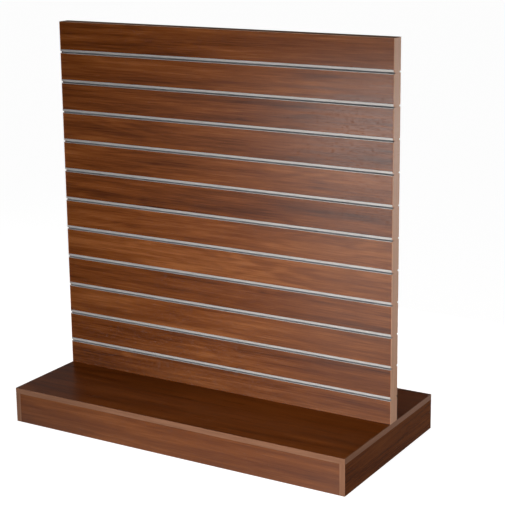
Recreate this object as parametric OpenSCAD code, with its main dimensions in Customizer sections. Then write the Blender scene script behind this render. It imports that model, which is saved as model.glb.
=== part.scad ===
// Free-standing slatwall display unit: a grooved panel, both faces usable, on a shallow plinth.
// Millimetres. The origin is the middle of the footprint, on the floor.
// X runs along the panel, +Y points to the rear and +Z up.

/* [Overall] */
// Width of the unit, along the panel
unit_w = 1220; // [900:10:2400]
// Depth of the plinth and its deck, front to rear
deck_d = 610; // [500:10:900]
// Height of the plinth, floor to the top of the deck
plinth_h = 116; // [110:1:160]
// Thickness of the main boards
board_t = 18; // [18:1:20]
// Thickness of the edge banding and lippings
edge_t = 2; // [1:0.5:3]
// Thickness of the lipping on the panel's top edge
top_edge_t = 1; // [1:0.5:3]

/* [Panel] */
// Number of grooves on each face
groove_count = 11; // [4:1:12]
// Distance from one groove's centre to the next
groove_pitch = 100; // [75:5:200]
// Distance from the panel's top down to the first groove's centre
top_band = 100; // [60:5:150]
// Distance from the last groove's centre down to the deck
bottom_band = 80; // [40:5:150]
// Thickness of the core board between the two grooved boards
core_t = 9; // [9:1:18]
// Distance of the panel's front face behind the middle of the plinth
panel_front_y = 0; // [-60:5:60]

/* [Grooves and inserts] */
// Height of the groove's mouth
mouth_h = 10; // [10:0.5:13]
// Depth of the mouth, which is the thickness of the lips beside it
mouth_depth = 7; // [6:0.5:7.5]
// Height of the undercut behind the lips
undercut_h = 24; // [18:1:30]
// Depth of the undercut
undercut_depth = 6; // [5:0.5:6]
// Wall thickness of the aluminium insert
insert_t = 1.2; // [0.8:0.1:1.5]
// How far the insert's flanges stand proud of the panel
flange_t = 1; // [0.6:0.1:1.5]
// Height of the insert's upper flange
upper_flange_h = 7; // [5:0.5:8]
// How far the upper flange laps onto the board above the mouth
upper_flange_lap = 3; // [2:0.5:4]
// How far the lower flange laps onto the board below the mouth
lower_flange_lap = 0.5; // [0.5:0.5:3]

/* [Plinth frame] */
// Length of the core board's tongue, which passes down through the deck
tongue_w = 1100; // [600:10:1100]
// Height of the tongue below the deck's underside
tongue_drop = 70; // [60:5:75]
// Height of the two spine rails that clamp the tongue
rail_h = 80; // [75:1:90]
// Height of the cross bearers under the deck
bearer_h = 60; // [50:5:70]
// Distance of each bearer from the middle of the unit
bearer_x = 205; // [150:5:300]
// Side of the square corner blocks
block_w = 80; // [70:5:100]
// Height of the corner blocks
block_h = 40; // [35:5:40]

/* [Fittings] */
// Radius of the beech dowels
dowel_r = 4; // [3:0.5:4]
// Radius of the cam discs
cam_r = 7.5; // [6:0.5:7.5]
// Depth of the cam discs
cam_depth = 13; // [11:0.5:13]
// Distance of a cam disc's centre from the board's end
cam_inset = 34; // [24:1:34]
// Radius of the bolts that clamp the tongue
clamp_bolt_r = 3; // [2.5:0.5:4]
// Number of bolts that clamp the tongue
clamp_bolt_count = 4; // [2:2:8]

/* [Levelling feet] */
// How far a foot can be screwed down
foot_travel = 15; // [5:1:15]
// Radius of the threaded stem
stem_r = 3.95; // [3.95:0.01:3.98]
// Radius of the foot's pad
pad_r = 20; // [16:1:25]

/* [Hidden] */
$fn = 48;
eps = 1;                 // how far a cutting tool runs past a face
fit = 0.05;              // clearance round every fitting
tongue_play = 0.25;      // clearance round the tongue in the deck

panel_h = top_band + (groove_count - 1) * groove_pitch + bottom_band;
panel_t = 2 * board_t + core_t;
panel_mid_y = panel_front_y + panel_t / 2;
deck_under = plinth_h - board_t;
unit_top = plinth_h + panel_h;
inner_w = unit_w - 2 * edge_t;          // boards between two banded edges
mouth_open_h = mouth_h + upper_flange_lap - upper_flange_h - insert_t;  // between the flanges
frame_w = unit_w - 2 * board_t;         // boards between the plinth's end boards
front_inner_y = -deck_d / 2 + board_t;
rear_inner_y = deck_d / 2 - board_t;
rail_z = deck_under - rail_h;

dowel_l = 30;
dowel_short = 12;        // the part of a dowel that sits in a board's face
dowel_margin = board_t / 2;  // from the end of a board to its nearest dowel
bearer_under = deck_under - bearer_h;
end_dowel_zs = [rail_z + dowel_margin, deck_under - 2 * dowel_margin];
bearer_dowel_zs = [bearer_under + 1.5 * dowel_margin, deck_under - 1.5 * dowel_margin];
deck_dowel_x = 300;
deck_dowel_y = 150;

cam_drop = 50;           // cam discs, below the deck's underside
cam_z = deck_under - cam_drop;
cam_bolt_r = 3;
cam_bolt_thread_r = 3.5;
cam_bolt_thread_l = 11;
cam_head_l = 3;
cam_slot_w = 1.6;
cam_slot_depth = 2;

clamp_bolt_x = 400;
clamp_bolt_z = deck_under - rail_h / 2;
clamp_head_r = 7;
clamp_head_h = 3.5;
clamp_nut_r = 5.77;
clamp_nut_h = 5;
clamp_washer_r = 6.5;
clamp_washer_h = 1.2;
clamp_bolt_tail = 2;

screw_r = 2.25;
screw_bite = 12;         // depth of the deck screws in the deck
screw_head_r = 4.5;
screw_head_h = 3;
screw_offset = 26;       // deck screws, from the middle of a corner block

block_under = deck_under - block_h;
sleeve_r = 6;
sleeve_l = 20;
sleeve_flange_r = 9;
sleeve_flange_h = 1.5;
sleeve_bore_r = 4;
thread_grip = 13;        // thread left in a sleeve when its foot is all the way down
stem_top = block_under + thread_grip + foot_travel;
stem_room = 4;           // free bore above a stem
stem_gap = 0.5;          // clearance round a stem in its block
ball_r = 5;
ball_z = 6.5;
socket_gap = 0.25;
neck_r = 2.9;
hex_r = 7.5;
hex_z = 13;
hex_h = 5;
pad_base_h = 4;
pad_neck_r1 = 13;
pad_neck_r2 = 9;
pad_top = 10;

walnut = [0.42, 0.25, 0.15];
walnut_deck = [0.24, 0.12, 0.06];
banding = [0.58, 0.44, 0.36];
raw_board = [0.74, 0.60, 0.43];
core_board_brown = [0.66, 0.52, 0.36];
beech = [0.80, 0.64, 0.44];
aluminium = [0.78, 0.75, 0.73];
zinc = [0.66, 0.67, 0.69];
black_plastic = [0.09, 0.09, 0.10];

CORNERS = ["front_left", "front_right", "rear_left", "rear_right"];
function corner_x(i) = (i % 2 == 0 ? -1 : 1) * (frame_w / 2 - block_w / 2);
function corner_y(i) = i < 2 ? front_inner_y + block_w / 2 : rear_inner_y - block_w / 2;

function groove_z(i) = unit_top - top_band - (i - 1) * groove_pitch;
function two_digits(i) = i < 10 ? str("0", i) : str(i);
function insert_name(side, i) = str(side, "_insert_", two_digits(i));

// Each row is a board that ends on the plinth's end boards: the middle of its thickness,
// and the side that its cam discs open to
FRAME_ROWS = [
    [front_inner_y - board_t / 2, 1],
    [rear_inner_y + board_t / 2, -1],
    [panel_front_y + board_t / 2, -1],
    [panel_front_y + panel_t - board_t / 2, 1],
];
// Each row is one end of a bearer: the face that it meets, and the way from that face into the bearer
BEARER_ENDS = [
    [front_inner_y, 1],
    [panel_front_y, -1],
    [panel_front_y + panel_t, 1],
    [rear_inner_y, -1],
];

// ---- helpers ----

// Mirrors a front part through the middle of the panel's thickness
module to_rear() {
    translate([0, 2 * panel_mid_y, 0]) mirror([0, 1, 0]) children();
}

// Extrudes an outline drawn in Y and Z along X, centred on the unit
module along_panel(length) {
    translate([-length / 2, 0, 0]) rotate([90, 0, 90]) linear_extrude(length) children();
}

module at_grooves() {
    for (i = [1:groove_count]) translate([0, panel_front_y, groove_z(i)]) children();
}

// A cylinder along +Y or -Y from the origin
module rod_y(r, length, way = 1) {
    rotate([-90 * way, 0, 0]) cylinder(r = r, h = length);
}

// A cylinder along +X or -X from the origin
module rod_x(r, length, way = 1) {
    rotate([0, 90 * way, 0]) cylinder(r = r, h = length);
}

// ---- fittings, drawn with room = 0 for the piece and room > 0 for its hole ----

module end_dowels(room = 0) {
    for (row = FRAME_ROWS, side = [-1, 1], z = end_dowel_zs)
        translate([side * (frame_w / 2 + dowel_short), row[0], z])
            rod_x(dowel_r - fit + room, dowel_l, -side);
}

module bearer_dowels(room = 0) {
    for (end = BEARER_ENDS, side = [-1, 1], z = bearer_dowel_zs)
        translate([side * bearer_x, end[0] - end[1] * dowel_short, z])
            rod_y(dowel_r - fit + room, dowel_l, end[1]);
}

module deck_dowels(room = 0) {
    for (sx = [-1, 1], sy = [-1, 1]) {
        translate([sx * deck_dowel_x, sy * (deck_d - board_t) / 2, deck_under + dowel_short - dowel_l])
            cylinder(r = dowel_r - fit + room, h = dowel_l);
        translate([sx * (unit_w - board_t) / 2, sy * deck_dowel_y, deck_under + dowel_short - dowel_l])
            cylinder(r = dowel_r - fit + room, h = dowel_l);
    }
}

module at_cams() {
    for (row = FRAME_ROWS, side = [-1, 1])
        translate([side * (frame_w / 2 - cam_inset), row[0], cam_z])
            scale([side, row[1], 1]) children();
}

// A cam disc, open at +Y, with the bolt coming in from +X
module cam_disc(room = 0) {
    translate([0, board_t / 2 - cam_depth, 0]) rod_y(cam_r - fit + room, cam_depth + (room > 0 ? eps : 0));
}

module cam_bolt(room = 0) {
    rod_x(cam_bolt_r + room, cam_inset);
    rod_x(cam_bolt_thread_r - fit + room, cam_head_l);
    translate([cam_inset, 0, 0]) rod_x(cam_bolt_thread_r - fit + room, cam_bolt_thread_l);
}

module at_clamp_bolts() {
    for (k = [1:clamp_bolt_count])
        translate([clamp_bolt_x * (2 * (k - 1) / (clamp_bolt_count - 1) - 1), panel_front_y, clamp_bolt_z])
            children();
}

module clamp_bolt_holes() {
    at_clamp_bolts() translate([0, -eps, 0]) rod_y(clamp_bolt_r + fit, panel_t + 2 * eps);
}

module at_deck_screws() {
    for (i = [0:3], s = [-1, 1])
        translate([corner_x(i) + s * screw_offset, corner_y(i) - s * screw_offset, block_under]) children();
}

module deck_screw_holes() {
    at_deck_screws() translate([0, 0, -eps]) cylinder(r = screw_r + fit, h = eps + block_h + screw_bite);
}

// ---- panel ----

// The outline of one groove in Y and Z, with its mouth open to -Y
module groove_outline() {
    translate([-eps, -mouth_h / 2]) square([mouth_depth + 2 * eps, mouth_h]);
    translate([mouth_depth, -undercut_h / 2]) square([undercut_depth, undercut_h]);
}

// The notch in the end lippings that leaves an insert's mouth open between its flanges
module notch_outline() {
    translate([-eps, insert_t - mouth_h / 2]) square([eps + mouth_depth, mouth_open_h]);
}

// The outline of one insert: a lining with a T-shaped slot in it, and two flanges on the face
module insert_outline() {
    difference() {
        union() {
            translate([0, -mouth_h / 2]) square([mouth_depth + eps, mouth_h]);
            translate([mouth_depth, -undercut_h / 2]) square([undercut_depth, undercut_h]);
        }
        translate([-eps, insert_t - mouth_h / 2])
            square([mouth_depth + insert_t + 2 * eps, mouth_h - 2 * insert_t]);
        translate([mouth_depth + insert_t, insert_t - undercut_h / 2])
            square([undercut_depth - 2 * insert_t, undercut_h - 2 * insert_t]);
    }
    translate([-flange_t, mouth_h / 2 + upper_flange_lap - upper_flange_h])
        square([flange_t, upper_flange_h]);
    translate([-flange_t, -mouth_h / 2 - lower_flange_lap]) square([flange_t, lower_flange_lap + insert_t]);
}

module slat_board() {
    color(walnut) difference() {
        translate([-inner_w / 2, panel_front_y, plinth_h]) cube([inner_w, board_t, panel_h - top_edge_t]);
        at_grooves() along_panel(inner_w + 2 * eps) groove_outline();
    }
}

module insert(i) {
    color(aluminium) translate([0, panel_front_y, groove_z(i)]) along_panel(inner_w) insert_outline();
}

module core_board() {
    color(core_board_brown) difference() {
        union() {
            translate([-inner_w / 2, panel_front_y + board_t, plinth_h])
                cube([inner_w, core_t, panel_h - top_edge_t]);
            translate([-tongue_w / 2, panel_front_y + board_t, deck_under - tongue_drop])
                cube([tongue_w, core_t, board_t + tongue_drop + eps]);
        }
        clamp_bolt_holes();
    }
}

module end_lipping(side) {
    color(banding) difference() {
        translate([side * (unit_w - edge_t) / 2 - edge_t / 2, panel_front_y, plinth_h])
            cube([edge_t, panel_t, panel_h]);
        at_grooves() along_panel(unit_w + 2 * eps) notch_outline();
        to_rear() at_grooves() along_panel(unit_w + 2 * eps) notch_outline();
    }
}

module top_lipping() {
    color(banding) translate([-inner_w / 2, panel_front_y, unit_top - top_edge_t])
        cube([inner_w, panel_t, top_edge_t]);
}

// ---- plinth ----

module deck_board() {
    color(walnut_deck) difference() {
        translate([-inner_w / 2, edge_t - deck_d / 2, deck_under])
            cube([inner_w, deck_d - 2 * edge_t, board_t]);
        translate([-tongue_w / 2 - tongue_play, panel_front_y + board_t - tongue_play, deck_under - eps])
            cube([tongue_w + 2 * tongue_play, core_t + 2 * tongue_play, board_t + 2 * eps]);
        deck_dowels(fit);
        deck_screw_holes();
    }
}

// Banding along the deck's front edge at side = -1, or its rear edge at side = 1
module deck_long_edge(side) {
    color(banding) translate([-unit_w / 2, side * (deck_d - edge_t) / 2 - edge_t / 2, deck_under])
        cube([unit_w, edge_t, board_t]);
}

module deck_short_edge(side) {
    color(banding) translate([side * (unit_w - edge_t) / 2 - edge_t / 2, edge_t - deck_d / 2, deck_under])
        cube([edge_t, deck_d - 2 * edge_t, board_t]);
}

// A board between the end boards, along one row of FRAME_ROWS
module plinth_long_board(row) {
    color(walnut) difference() {
        translate([-frame_w / 2, row[0] - board_t / 2, 0]) cube([frame_w, board_t, deck_under]);
        end_dowels(fit);
        bearer_dowels(fit);
        deck_dowels(fit);
        at_cams() cam_disc(fit);
        at_cams() cam_bolt(fit);
    }
}

module plinth_end_board(side) {
    color(walnut) difference() {
        translate([side * (unit_w - board_t) / 2 - board_t / 2, edge_t - deck_d / 2, 0])
            cube([board_t, deck_d - 2 * edge_t, deck_under]);
        end_dowels(fit);
        deck_dowels(fit);
        at_cams() cam_bolt(fit);
    }
}

module end_board_edges() {
    color(banding) for (sx = [-1, 1], sy = [-1, 1])
        translate([sx * (unit_w - board_t) / 2 - board_t / 2, sy * (deck_d - edge_t) / 2 - edge_t / 2, 0])
            cube([board_t, edge_t, deck_under]);
}

// A rail under the panel, along one row of FRAME_ROWS, that clamps the tongue
module spine_rail(row) {
    color(raw_board) difference() {
        translate([-frame_w / 2, row[0] - board_t / 2, rail_z]) cube([frame_w, board_t, rail_h]);
        end_dowels(fit);
        bearer_dowels(fit);
        clamp_bolt_holes();
        at_cams() cam_disc(fit);
        at_cams() cam_bolt(fit);
    }
}

// Two cross bearers between the faces at y0 and y1
module bearers(y0, y1) {
    color(raw_board) difference() {
        for (side = [-1, 1])
            translate([side * bearer_x - board_t / 2, y0, bearer_under])
                cube([board_t, y1 - y0, bearer_h]);
        bearer_dowels(fit);
    }
}

module corner_blocks() {
    color(raw_board) difference() {
        for (i = [0:3])
            translate([corner_x(i) - block_w / 2, corner_y(i) - block_w / 2, block_under])
                cube([block_w, block_w, block_h]);
        for (i = [0:3])
            translate([corner_x(i), corner_y(i), block_under]) {
                translate([0, 0, -eps]) cylinder(r = sleeve_r, h = sleeve_l + eps);
                cylinder(r = stem_r + stem_gap, h = stem_top + stem_room - block_under);
            }
        deck_screw_holes();
    }
}

// ---- levelling feet ----

module foot_sleeves() {
    color(zinc) for (i = [0:3])
        translate([corner_x(i), corner_y(i), block_under]) difference() {
            union() {
                cylinder(r = sleeve_r - fit, h = sleeve_l);
                translate([0, 0, -sleeve_flange_h]) cylinder(r = sleeve_flange_r, h = sleeve_flange_h);
            }
            translate([0, 0, -sleeve_flange_h - eps])
                cylinder(r = sleeve_bore_r, h = sleeve_l + sleeve_flange_h + 2 * eps);
        }
}

module foot_pad(i) {
    color(black_plastic) translate([corner_x(i), corner_y(i), 0]) difference() {
        union() {
            cylinder(r = pad_r, h = pad_base_h);
            translate([0, 0, pad_base_h])
                cylinder(r1 = pad_neck_r1, r2 = pad_neck_r2, h = pad_top - pad_base_h);
        }
        translate([0, 0, ball_z]) sphere(r = ball_r + socket_gap);
    }
}

module foot_stem(i) {
    color(zinc) translate([corner_x(i), corner_y(i), 0]) {
        translate([0, 0, ball_z]) sphere(r = ball_r);
        translate([0, 0, ball_z]) cylinder(r = neck_r, h = hex_z - ball_z + eps);
        translate([0, 0, hex_z]) cylinder(r = hex_r, h = hex_h, $fn = 6);
        translate([0, 0, hex_z]) cylinder(r = stem_r, h = stem_top - hex_z);
    }
}

// ---- fasteners ----

module dowels() {
    color(beech) {
        end_dowels();
        bearer_dowels();
        deck_dowels();
    }
}

module cam_discs() {
    color(zinc) at_cams() difference() {
        cam_disc();
        cam_bolt(fit);
        translate([-cam_r, board_t / 2 - cam_slot_depth, -cam_slot_w / 2])
            cube([2 * cam_r, cam_slot_depth + eps, cam_slot_w]);
    }
}

module cam_bolts() {
    color(zinc) at_cams() cam_bolt();
}

module deck_screws() {
    color(zinc) at_deck_screws() {
        cylinder(r = screw_r, h = block_h + screw_bite - eps);
        translate([0, 0, -screw_head_h]) cylinder(r = screw_head_r, h = screw_head_h);
    }
}

module clamp_bolts() {
    color(zinc) at_clamp_bolts() {
        rod_y(clamp_bolt_r, panel_t + clamp_washer_h + clamp_nut_h + clamp_bolt_tail);
        translate([0, -clamp_head_h, 0]) rod_y(clamp_head_r, clamp_head_h);
    }
}

module clamp_nuts() {
    color(zinc) at_clamp_bolts() translate([0, panel_t, 0]) difference() {
        union() {
            rod_y(clamp_washer_r, clamp_washer_h);
            rotate([-90, 0, 0]) cylinder(r = clamp_nut_r, h = clamp_washer_h + clamp_nut_h, $fn = 6);
        }
        translate([0, -eps, 0]) rod_y(clamp_bolt_r + fit, clamp_washer_h + clamp_nut_h + 2 * eps);
    }
}

// ---- drawing ----

slat_board();  // front_slat_board
to_rear() slat_board();  // rear_slat_board
core_board();
end_lipping(-1);  // left_end_lipping
end_lipping(1);  // right_end_lipping
top_lipping();
for (i = [1:groove_count]) {
    insert(i);
    to_rear() insert(i);
}
deck_board();
deck_long_edge(-1);  // deck_front_edge
deck_long_edge(1);  // deck_rear_edge
deck_short_edge(-1);  // deck_left_edge
deck_short_edge(1);  // deck_right_edge
plinth_long_board(FRAME_ROWS[0]);  // plinth_front_board
plinth_long_board(FRAME_ROWS[1]);  // plinth_rear_board
plinth_end_board(-1);  // plinth_left_end
plinth_end_board(1);  // plinth_right_end
end_board_edges();
spine_rail(FRAME_ROWS[2]);  // front_spine_rail
spine_rail(FRAME_ROWS[3]);  // rear_spine_rail
bearers(front_inner_y, panel_front_y);  // front_bearers
bearers(panel_front_y + panel_t, rear_inner_y);  // rear_bearers
corner_blocks();
foot_sleeves();
for (i = [0:3]) {
    foot_pad(i);
    foot_stem(i);
}
dowels();
cam_discs();
cam_bolts();
deck_screws();
clamp_bolts();
clamp_nuts();
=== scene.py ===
"""The looks of the slatwall display unit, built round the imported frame."""
import math

import bpy
from mathutils import Matrix, Vector


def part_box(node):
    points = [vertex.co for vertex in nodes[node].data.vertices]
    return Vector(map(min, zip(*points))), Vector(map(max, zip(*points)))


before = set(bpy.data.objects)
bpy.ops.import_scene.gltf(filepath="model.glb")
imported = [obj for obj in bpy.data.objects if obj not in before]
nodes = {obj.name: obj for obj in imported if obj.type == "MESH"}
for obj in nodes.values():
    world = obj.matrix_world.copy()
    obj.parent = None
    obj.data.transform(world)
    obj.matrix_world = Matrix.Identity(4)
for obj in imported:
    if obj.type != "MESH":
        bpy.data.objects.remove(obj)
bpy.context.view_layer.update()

PANEL_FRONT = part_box("front_slat_board")[0].y
PANEL_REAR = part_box("rear_slat_board")[1].y
GROOVE_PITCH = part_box("front_insert_01")[0].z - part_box("front_insert_02")[0].z


# ---- node helpers ----

class Graph:
    """A node tree. An input is given as a value or as another node's socket."""

    def __init__(self, tree):
        self.tree = tree

    def feed(self, node, inputs):
        for key, value in inputs.items():
            if isinstance(value, bpy.types.NodeSocket):
                self.tree.links.new(value, node.inputs[key])
            else:
                node.inputs[key].default_value = value

    def add(self, kind, inputs=None, **settings):
        node = self.tree.nodes.new("ShaderNode" + kind)
        for key, value in settings.items():
            setattr(node, key, value)
        self.feed(node, inputs or {})
        return node

    def math(self, operation, *values, clamp=False):
        inputs = dict(enumerate(values))
        return self.add("Math", inputs, operation=operation, use_clamp=clamp).outputs[0]

    def total(self, first, *others):
        for other in others:
            first = self.math("ADD", first, other)
        return first

    def mix(self, factor, first, second):
        return self.add("Mix", {0: factor, 2: first, 3: second}).outputs[0]

    def noise(self, vector, scale=1.0, detail=2.0, roughness=0.5, distortion=0.0):
        inputs = {"Vector": vector, "Scale": scale, "Detail": detail}
        inputs.update({"Roughness": roughness, "Distortion": distortion})
        return self.add("TexNoise", inputs).outputs["Fac"]

    def white(self, value):
        return self.add("TexWhiteNoise", {"W": value}, noise_dimensions="1D").outputs["Value"]

    def remap(self, value, low, high, new_low=0.0, new_high=1.0):
        inputs = {"Value": value, "From Min": low, "From Max": high}
        inputs.update({"To Min": new_low, "To Max": new_high})
        return self.add("MapRange", inputs).outputs[0]

    def ramp(self, value, *stops):
        """Stops are (position, (red, green, blue))."""
        node = self.add("ValToRGB", {"Fac": value})
        elements = node.color_ramp.elements
        while len(elements) < len(stops):
            elements.new(0.5)
        for element, (position, colour) in zip(elements, stops):
            element.position = position
            element.color = (*colour, 1.0)
        return node.outputs["Color"]

    def profile(self, value, *stops):
        """A number that runs straight from stop to stop, each (value, result)."""
        low, high = stops[0][0], stops[-1][0]
        places = [((at - low) / (high - low), (result,) * 3) for at, result in stops]
        return self.ramp(self.remap(value, low, high), *places)

    def blend(self, factor, first, second, mode="MIX"):
        node = self.add("Mix", data_type="RGBA", blend_type=mode)
        colours = [c if isinstance(c, bpy.types.NodeSocket) else (*c, 1.0) for c in (first, second)]
        self.feed(node, {0: factor, 6: colours[0], 7: colours[1]})
        return node.outputs[2]


class Surface(Graph):
    """A new material and its shader."""

    def __init__(self, name):
        self.material = bpy.data.materials.new(name)
        self.material.use_nodes = True
        super().__init__(self.material.node_tree)
        self.tree.nodes.clear()
        self.output = self.add("OutputMaterial")

    def position(self):
        return self.add("TexCoord").outputs["Object"]

    def grain(self, along, across):
        """Metres along the grain, across it and through the board, as three sockets."""
        axes = dict(zip("XYZ", self.add("SeparateXYZ", {0: self.position()}).outputs))
        through = next(a for a in "XYZ" if a not in (along, across))
        return axes[along], axes[across], axes[through]

    def streaks(self, grain, per_metre_along, per_metre_across, *look):
        """Noise drawn out along the grain; look is its detail, roughness and distortion."""
        u, v, w = grain
        long = self.math("MULTIPLY", u, per_metre_along)
        wide = self.math("MULTIPLY", v, per_metre_across)
        return self.noise(self.add("CombineXYZ", {0: long, 1: wide, 2: w}).outputs[0], 1.0, *look)

    def finish(self, bump, depth, **inputs):
        """Ends the material: bump is a height, depth its size in metres, and inputs are the shader's."""
        shader = self.add("BsdfPrincipled")
        normal = self.add("Bump", {"Height": bump, "Distance": depth}).outputs[0]
        self.feed(shader, {"Normal": normal})
        self.feed(shader, {key.replace("_", " "): value for key, value in inputs.items()})
        self.feed(self.output, {"Surface": shader.outputs[0]})
        return self.material


# ---- wood ----

# From the darkest pores to the lightest wood
WALNUT = ((0.075, 0.016, 0.0018), (0.155, 0.038, 0.0050), (0.225, 0.062, 0.0105), (0.330, 0.108, 0.027))


def walnut(name, along, across, seed, tone=1.0, stave=GROOVE_PITCH, offset=0.0, gloss=0.11, contrast=1.0):
    """Satin walnut melamine: staves of slightly different tone, flat-sawn figure, streaks and pores."""
    g = Surface(name)
    u, v, w = g.grain(along, across)
    board = g.math("FLOOR", g.math("DIVIDE", g.math("ADD", v, offset), stave))
    luck = g.white(g.math("ADD", board, float(seed)))
    in_stave = u, v, g.math("MULTIPLY", luck, 40.0)
    in_board = u, v, w

    swirl = g.streaks(in_stave, 1.3, 9.0, 3, 0.5, 0.6)
    rings = g.math("SINE", g.math("MULTIPLY", swirl, 60.0))
    patch = g.streaks(in_stave, 2.2, 7.0)
    ring_strength = g.remap(patch, 0.42, 0.68, 0.0, 0.16)
    streaks = g.streaks(in_stave, 2.5, 75.0, 4, 0.62)
    lines = g.streaks(in_stave, 9.0, 300.0, 3, 0.6)
    fibres = g.streaks(in_board, 14.0, 900.0, 3, 0.6)
    broad = g.streaks(in_stave, 1.4, 22.0, 2, 0.5, 0.3)

    figure = g.total(g.math("MULTIPLY", rings, ring_strength),
                     g.remap(streaks, 0.25, 0.75, -0.31, 0.31),
                     g.remap(lines, 0.25, 0.75, -0.27, 0.27),
                     g.remap(fibres, 0.3, 0.7, -0.07, 0.07),
                     g.remap(broad, 0.3, 0.7, -0.29, 0.29))
    figure = g.math("MULTIPLY", figure, contrast)
    level = g.math("ADD", figure, g.remap(luck, 0.0, 1.0, 0.30, 0.70), clamp=True)
    colour = g.ramp(level, (0.0, WALNUT[0]), (0.35, WALNUT[1]), (0.65, WALNUT[2]), (1.0, WALNUT[3]))

    pore = g.remap(g.streaks(in_board, 60.0, 1500.0, 1), 0.62, 0.72)
    colour = g.blend(g.math("MULTIPLY", pore, 0.45), colour, WALNUT[0])
    colour = g.blend(1.0, colour, (tone, tone * 0.98, tone * 0.95), "MULTIPLY")

    rough = g.remap(streaks, 0.3, 0.7, gloss - 0.03, gloss + 0.04)
    rough = g.math("ADD", rough, g.math("MULTIPLY", pore, 0.15))
    relief = g.math("SUBTRACT", g.math("MULTIPLY", fibres, 0.3), pore)
    return g.finish(relief, 0.00004, Base_Color=colour, Roughness=rough)


def banding(name, along, across, light, dark):
    """Edge banding printed with straight walnut grain, lighter than the boards."""
    g = Surface(name)
    grain = g.grain(along, across)
    streaks = g.streaks(grain, 5.0, 160.0, 4, 0.6)
    fibres = g.streaks(grain, 40.0, 2200.0)
    level = g.math("ADD", g.remap(streaks, 0.3, 0.7, 0.1, 0.8), g.remap(fibres, 0.3, 0.7, -0.1, 0.1))
    colour = g.ramp(level, (0.0, dark), (1.0, light))
    return g.finish(fibres, 0.00003, Base_Color=colour, Roughness=g.remap(streaks, 0.3, 0.7, 0.38, 0.48))


def chipboard(name):
    """Plain particle board: flat chips of mixed tan, with a sanded face."""
    g = Surface(name)
    position = g.position()
    flat = g.add("Mapping", {"Vector": position, "Scale": (260.0, 260.0, 420.0)}).outputs[0]
    chips = g.add("TexVoronoi", {"Vector": flat, "Scale": 1.0, "Randomness": 1.0})
    tint = g.add("SeparateColor", {0: chips.outputs["Color"]}).outputs[0]
    dust = g.noise(position, 900.0, 4, 0.6)
    colour = g.ramp(tint, (0.0, (0.30, 0.19, 0.10)), (0.5, (0.47, 0.33, 0.19)), (1.0, (0.62, 0.47, 0.30)))
    colour = g.blend(g.remap(dust, 0.35, 0.65, 0.0, 0.35), colour, (0.40, 0.28, 0.16))
    relief = g.math("ADD", chips.outputs["Distance"], dust)
    return g.finish(relief, 0.00015, Base_Color=colour, Roughness=g.remap(dust, 0.3, 0.7, 0.72, 0.88))


def fibreboard(name):
    """Raw fibreboard: even brown with fine fibres and soft darker clouds."""
    g = Surface(name)
    position = g.position()
    fibres = g.noise(position, 1400.0, 4, 0.7, 0.5)
    clouds = g.noise(position, 30.0, 3)
    colour = g.ramp(fibres, (0.3, (0.30, 0.185, 0.095)), (0.7, (0.46, 0.31, 0.175)))
    colour = g.blend(g.remap(clouds, 0.35, 0.7, 0.0, 0.3), colour, (0.27, 0.165, 0.085))
    return g.finish(fibres, 0.0001, Base_Color=colour, Roughness=g.remap(clouds, 0.3, 0.7, 0.78, 0.9))


def beech(name):
    """Raw beech: pale pink-brown with short dark flecks."""
    g = Surface(name)
    position = g.position()
    flecks = g.noise(position, 1600.0, 3, 0.6)
    bands = g.noise(position, 220.0, 2, 0.5, 1.0)
    colour = g.ramp(bands, (0.3, (0.52, 0.32, 0.17)), (0.7, (0.68, 0.47, 0.28)))
    colour = g.blend(g.remap(flecks, 0.6, 0.7, 0.0, 0.6), colour, (0.30, 0.16, 0.08))
    return g.finish(flecks, 0.00005, Base_Color=colour, Roughness=g.remap(bands, 0.3, 0.7, 0.55, 0.68))


# ---- metal and plastic ----

# Deeper than this, inside the slot, the inserts have painted light: a paler, more diffuse grey.
FACE_DEPTH = 0.0002     # the inserts are bright down to here, below the boards' faces


def aluminium(name):
    """Satin anodised extrusion with fine die lines along its length. Inside the slot it is rougher and has
    painted light: a more diffuse grey that shows lighter than the metal would there.
    """
    g = Surface(name)
    grain = g.grain("X", "Z")
    lines = g.streaks(grain, 0.8, 5200.0)
    cloud = g.streaks(grain, 3.0, 20.0)
    tint = g.math("ADD", g.math("MULTIPLY", lines, 0.6), g.math("MULTIPLY", cloud, 0.4))
    colour = g.ramp(tint, (0.3, (0.62, 0.585, 0.56)), (0.7, (0.78, 0.735, 0.70)))
    rough = g.remap(lines, 0.3, 0.7, 0.30, 0.42)

    # Painted light inside the slot: the metal turns a rougher, more diffuse grey there, so the slot shows
    # lighter.
    from_middle = g.math("ABSOLUTE", g.math("SUBTRACT", grain[2], (PANEL_FRONT + PANEL_REAR) / 2))
    inside = g.math("LESS_THAN", from_middle, (PANEL_REAR - PANEL_FRONT) / 2 - FACE_DEPTH)
    colour = g.blend(inside, colour, (0.67, 0.67, 0.69))
    rough = g.math("ADD", rough, g.math("MULTIPLY", inside, 0.2))
    metal = g.remap(inside, 0.0, 1.0, 0.85, 0.35)
    return g.finish(lines, 0.00001, Base_Color=colour, Metallic=metal, Roughness=rough)


def zinc(name):
    """Zinc-plated steel: cool grey with soft mottling and scratches."""
    g = Surface(name)
    position = g.position()
    mottle = g.noise(position, 260.0, 4, 0.6, 0.8)
    fine = g.noise(position, 2600.0, 2)
    colour = g.ramp(mottle, (0.3, (0.42, 0.43, 0.45)), (0.7, (0.66, 0.67, 0.69)))
    rough = g.remap(mottle, 0.3, 0.7, 0.28, 0.46)
    return g.finish(fine, 0.00002, Base_Color=colour, Metallic=1.0, Roughness=rough)


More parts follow.
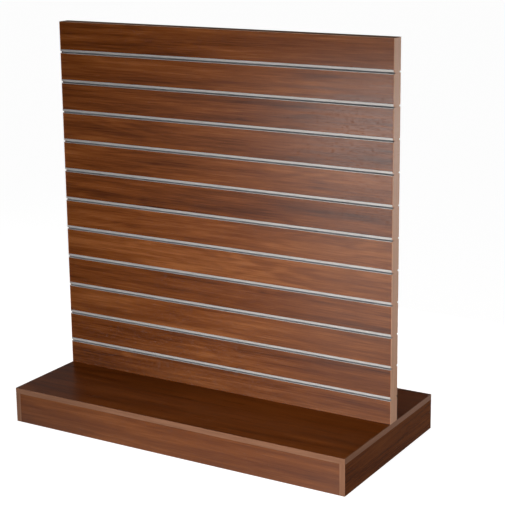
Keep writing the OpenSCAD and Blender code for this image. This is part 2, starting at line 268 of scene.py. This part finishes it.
def black_plastic(name):
    """Black moulded plastic with a fine spark-eroded texture."""
    g = Surface(name)
    position = g.position()
    texture = g.noise(position, 1900.0, 3, 0.55)
    scuffs = g.noise(position, 90.0, 4, 0.7)
    colour = g.ramp(scuffs, (0.35, (0.014, 0.014, 0.015)), (0.75, (0.040, 0.039, 0.038)))
    return g.finish(texture, 0.00006, Base_Color=colour, Roughness=g.remap(scuffs, 0.3, 0.7, 0.48, 0.62))


# ---- materials on the CAD nodes ----

def paint(material, *names):
    for name in names:
        for slot in nodes[name].material_slots:
            slot.material = material


def named(*starts):
    return sorted(n for n in nodes if n.startswith(starts))


# The banding's light and dark streaks
PANEL_TONES = (0.70, 0.40, 0.26), (0.50, 0.25, 0.14)
PLINTH_TONES = (0.335, 0.155, 0.084), (0.19, 0.078, 0.036)

# One stave for each slat: the offset puts the steps of tone in the grooves
first_groove = sum(corner.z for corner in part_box("front_insert_01")) / 2
SLATS = {"offset": GROOVE_PITCH - math.fmod(first_groove, GROOVE_PITCH), "contrast": 0.85}
BOARD = {"stave": 0.2, "tone": 0.88, "contrast": 0.65}
END_BOARD = {"stave": 0.2, "tone": 0.80, "contrast": 0.75}
DECK = {"stave": 0.152, "gloss": 0.30, "contrast": 0.75}

# The first three seeds were picked by a search outside this script. They give the slats, front and rear,
# about the real front's order of light and dark, and the deck evenly dark staves. The others are arbitrary.
SEEDS = {"front": 352584, "rear": 365984, "deck": 4072, "plinth_front": 7, "plinth_rear": 9, "ends": 11}

paint(walnut("walnut_front", "X", "Z", SEEDS["front"], **SLATS), "front_slat_board")
paint(walnut("walnut_rear", "X", "Z", SEEDS["rear"], **SLATS), "rear_slat_board")
paint(walnut("walnut_deck", "X", "Y", SEEDS["deck"], **DECK), "deck_board")
paint(walnut("walnut_plinth", "X", "Z", SEEDS["plinth_front"], **BOARD), "plinth_front_board")
paint(walnut("walnut_plinth_rear", "X", "Z", SEEDS["plinth_rear"], **BOARD), "plinth_rear_board")
paint(walnut("walnut_end", "Y", "Z", SEEDS["ends"], **END_BOARD), "plinth_left_end", "plinth_right_end")

paint(banding("panel_banding_upright", "Z", "Y", *PANEL_TONES), "left_end_lipping", "right_end_lipping")
paint(banding("panel_banding_top", "X", "Y", *PANEL_TONES), "top_lipping")
paint(banding("plinth_banding_long", "X", "Z", *PLINTH_TONES), "deck_front_edge", "deck_rear_edge")
paint(banding("plinth_banding_short", "Y", "Z", *PLINTH_TONES), "deck_left_edge", "deck_right_edge")
paint(banding("plinth_banding_upright", "Z", "X", *PLINTH_TONES), "end_board_edges")

inserts = named("front_insert_", "rear_insert_")
frame_boards = ["front_spine_rail", "rear_spine_rail", "front_bearers", "rear_bearers", "corner_blocks"]
fittings = ["foot_sleeves", "cam_discs", "cam_bolts", "deck_screws", "clamp_bolts", "clamp_nuts"]
paint(aluminium("satin_aluminium"), *inserts)
paint(fibreboard("raw_fibreboard"), "core_board")
paint(chipboard("particle_board"), *frame_boards)
paint(beech("beech"), "dowels")
paint(zinc("zinc_plate"), *fittings, *named("foot_stem_"))
paint(black_plastic("moulded_plastic"), *named("foot_pad_"))


# ---- softened edges ----

WELD_GAP = 0.00001
SHARP = math.radians(40)


def soften(radius, *names):
    """Rounds the sharp edges of plain CAD nodes, after closing their split faces."""
    for name in names:
        weld = nodes[name].modifiers.new("weld", "WELD")
        weld.merge_threshold = WELD_GAP
        bevel = nodes[name].modifiers.new("bevel", "BEVEL")
        bevel.width = radius
        bevel.segments = 2
        bevel.limit_method = "ANGLE"
        bevel.angle_limit = SHARP


soften(0.0007, "left_end_lipping", "right_end_lipping", "deck_front_edge", "deck_rear_edge", "deck_left_edge",
       "deck_right_edge", "end_board_edges")
soften(0.0003, "top_lipping")
soften(0.0002, *inserts)


# ---- stage ----

FLOOR_HALF = 60.0
FLOOR_GLOW = 0.93       # to the eye
FLOOR_LIT = 0.40        # to the eye, on top of the glow
FLOOR_BOUNCE = 0.30     # to everything else


def unmirror(*names):
    """Leaves pieces out of what gloss mirrors, so that the dark deck cuts no shape into the panel's sheen."""
    for name in names:
        nodes[name].visible_glossy = False


def make_floor():
    """A pale floor. It glows a little, and is darker to bounced light, so that it doesn't veil the wood."""
    mesh = bpy.data.meshes.new("floor")
    corners = [(x * FLOOR_HALF, y * FLOOR_HALF, 0.0) for x, y in ((-1, -1), (1, -1), (1, 1), (-1, 1))]
    mesh.from_pydata(corners, [], [(0, 1, 2, 3)])
    floor = bpy.data.objects.new("floor", mesh)
    floor.visible_glossy = False
    bpy.context.scene.collection.objects.link(floor)
    g = Surface("pale_floor")
    bounced = g.add("BsdfDiffuse", {"Color": (*(FLOOR_BOUNCE,) * 3, 1.0)})
    lit = g.add("BsdfDiffuse", {"Color": (*(FLOOR_LIT,) * 3, 1.0)})
    glow = g.add("Emission", {"Color": (1.0, 1.0, 1.0, 1.0), "Strength": FLOOR_GLOW})
    seen = g.add("AddShader", {0: lit.outputs[0], 1: glow.outputs[0]})
    eye = g.add("LightPath").outputs["Is Camera Ray"]
    either = g.add("MixShader", {0: eye, 1: bounced.outputs[0], 2: seen.outputs[0]})
    g.feed(g.output, {"Surface": either.outputs[0]})
    mesh.materials.append(g.material)


# ---- light ----

# What gloss mirrors, as (degrees, share of the brightness). Height is above the horizon. Turn is to the left
# of straight in front for a viewer there, or of straight behind for one behind.
BAND_TURN = ((-70, 0.02), (-55, 0.45), (8, 0.45), (20, 1.0), (25.5, 1.0), (27.5, 0.92), (29.6, 0.32),
             (31.5, 0.14), (34.5, 0.05), (38, 0.01))
BAND_IN_FRONT = ((-30, 0.12), (-21, 0.16), (-19.3, 0.22), (-17.8, 0.37), (-15, 0.40), (-12, 0.65),
                 (-9.5, 1.0), (-7.9, 1.0), (-7.4, 0.03), (0, 0.03), (3, 0.0))
BAND_BEHIND = ((-30, 0.008), (-17, 0.009), (-15, 0.2), (-12.5, 1.0), (-7.5, 1.0), (-6.7, 0.4), (-3, 0.05),
               (0, 0.0))
GROUND_HEIGHT = ((-38, 0.1), (-31, 0.25), (-26, 0.9), (-23.5, 0.55), (-22.3, 0.42), (-21.2, 0.22),
                 (-20.6, 0.0))
GROUND_LEAN = (20, 45, -3, 2)           # the ground's edge is 3 degrees lower at a turn of 20, 2 higher at 45
WALL_TURN = ((-60, 0.16), (-39, 0.16), (-34, 0.0))
WALL_HEIGHT = ((3, 0.0), (9, 1.0), (18, 1.0), (30, 0.0))
BRIGHT_IN_FRONT, BRIGHT_BEHIND = 4.6, 5.5
STUDIO = 0.018                          # what gloss mirrors everywhere else
SKY = (0.0, 0.7, 0.33, 0.08)            # what lights the rest: 0.33 up to the horizon, then down to 0.08


def make_world():
    """White to the eye. What the gloss mirrors is a dark studio with bright bands in front and behind."""
    world = bpy.data.worlds.new("studio")
    world.use_nodes = True
    g = Graph(world.node_tree)
    direction = g.add("TexCoord").outputs["Generated"]
    x, y, z = g.add("SeparateXYZ", {0: direction}).outputs
    height = g.math("DEGREES", g.math("ARCSINE", z))
    way = g.math("SIGN", y)
    turn = g.math("DEGREES", g.math("ARCTAN2", g.math("MULTIPLY", x, way), g.math("ABSOLUTE", y)))
    in_front = g.math("LESS_THAN", y, 0.0)

    band = g.mix(in_front, g.math("MULTIPLY", g.profile(height, *BAND_BEHIND), BRIGHT_BEHIND),
                 g.math("MULTIPLY", g.profile(height, *BAND_IN_FRONT), BRIGHT_IN_FRONT))
    band = g.math("MULTIPLY", g.profile(turn, *BAND_TURN), band)
    leaning = g.math("SUBTRACT", height, g.remap(turn, *GROUND_LEAN))
    ground = g.math("MULTIPLY", g.profile(leaning, *GROUND_HEIGHT), in_front)
    wall = g.math("MULTIPLY", g.profile(turn, *WALL_TURN), g.profile(height, *WALL_HEIGHT))
    mirrored = g.math("ADD", g.math("ADD", band, ground), g.math("ADD", wall, STUDIO))

    path = g.add("LightPath")
    unseen = g.mix(path.outputs["Is Glossy Ray"], g.remap(z, *SKY), mirrored)
    strength = g.mix(path.outputs["Is Camera Ray"], unseen, 1.0)
    g.feed(g.tree.nodes["Background"], {"Color": (1.0, 1.0, 1.0, 1.0), "Strength": strength})
    bpy.context.scene.world = world


KEY_LIGHT = {"at": (0.38, -1.5, 0.52), "aim": (0.38, 0.0, 0.62), "width": 1.2, "height": 0.8, "watts": 19.5}
SIDE_LIGHT = {"at": (3.0, 0.1, 0.5), "aim": (0.6, 0.0, 0.6), "width": 1.0, "height": 0.6, "watts": 21.0}


def softbox(name, way, at, aim, width, height, watts):
    """An area light. With way at -1 it stands half a turn round the unit's upright axis."""
    light = bpy.data.lights.new(name, "AREA")
    light.shape = "RECTANGLE"
    light.size = width
    light.size_y = height
    light.energy = watts
    lamp = bpy.data.objects.new(name, light)
    at, aim = (Vector((x * way, y * way, z)) for x, y, z in (at, aim))
    lamp.location = at
    lamp.rotation_euler = (aim - at).to_track_quat("-Z", "Y").to_euler()
    lamp.visible_camera = False
    lamp.visible_glossy = False
    bpy.context.scene.collection.objects.link(lamp)


def make_lights():
    """A key light and a side light on the front, and the same again, turned half round, on the rear."""
    for way, place in ((1, "front"), (-1, "rear")):
        softbox(place + "_key", way, **KEY_LIGHT)
        softbox(place + "_side", way, **SIDE_LIGHT)


# ---- camera ----

CAMERA_AT = Vector((2.3576, -3.7180, 1.7389))
CAMERA_TURN = math.radians(30.956)     # to the left of straight ahead
CAMERA_DIP = math.radians(12.533)      # below the horizon
CAMERA_ROLL = math.radians(-0.654)
LENS = 98.27
SENSOR = 36.0
SHIFT_Y = -0.12


def make_camera():
    data = bpy.data.cameras.new("camera")
    data.lens = LENS
    data.sensor_width = SENSOR
    data.shift_y = SHIFT_Y
    camera = bpy.data.objects.new("camera", data)
    turn = Matrix.Rotation(CAMERA_TURN, 4, "Z")
    dip = Matrix.Rotation(math.pi / 2 - CAMERA_DIP, 4, "X")
    camera.matrix_world = Matrix.Translation(CAMERA_AT) @ turn @ dip @ Matrix.Rotation(CAMERA_ROLL, 4, "Z")
    bpy.context.scene.collection.objects.link(camera)
    bpy.context.scene.camera = camera


unmirror("dowels", *frame_boards, *named("deck_", "plinth_", "end_board", "foot_", "cam_"))
make_floor()
make_world()
make_lights()
make_camera()
bpy.context.scene.view_settings.view_transform = "Standard"
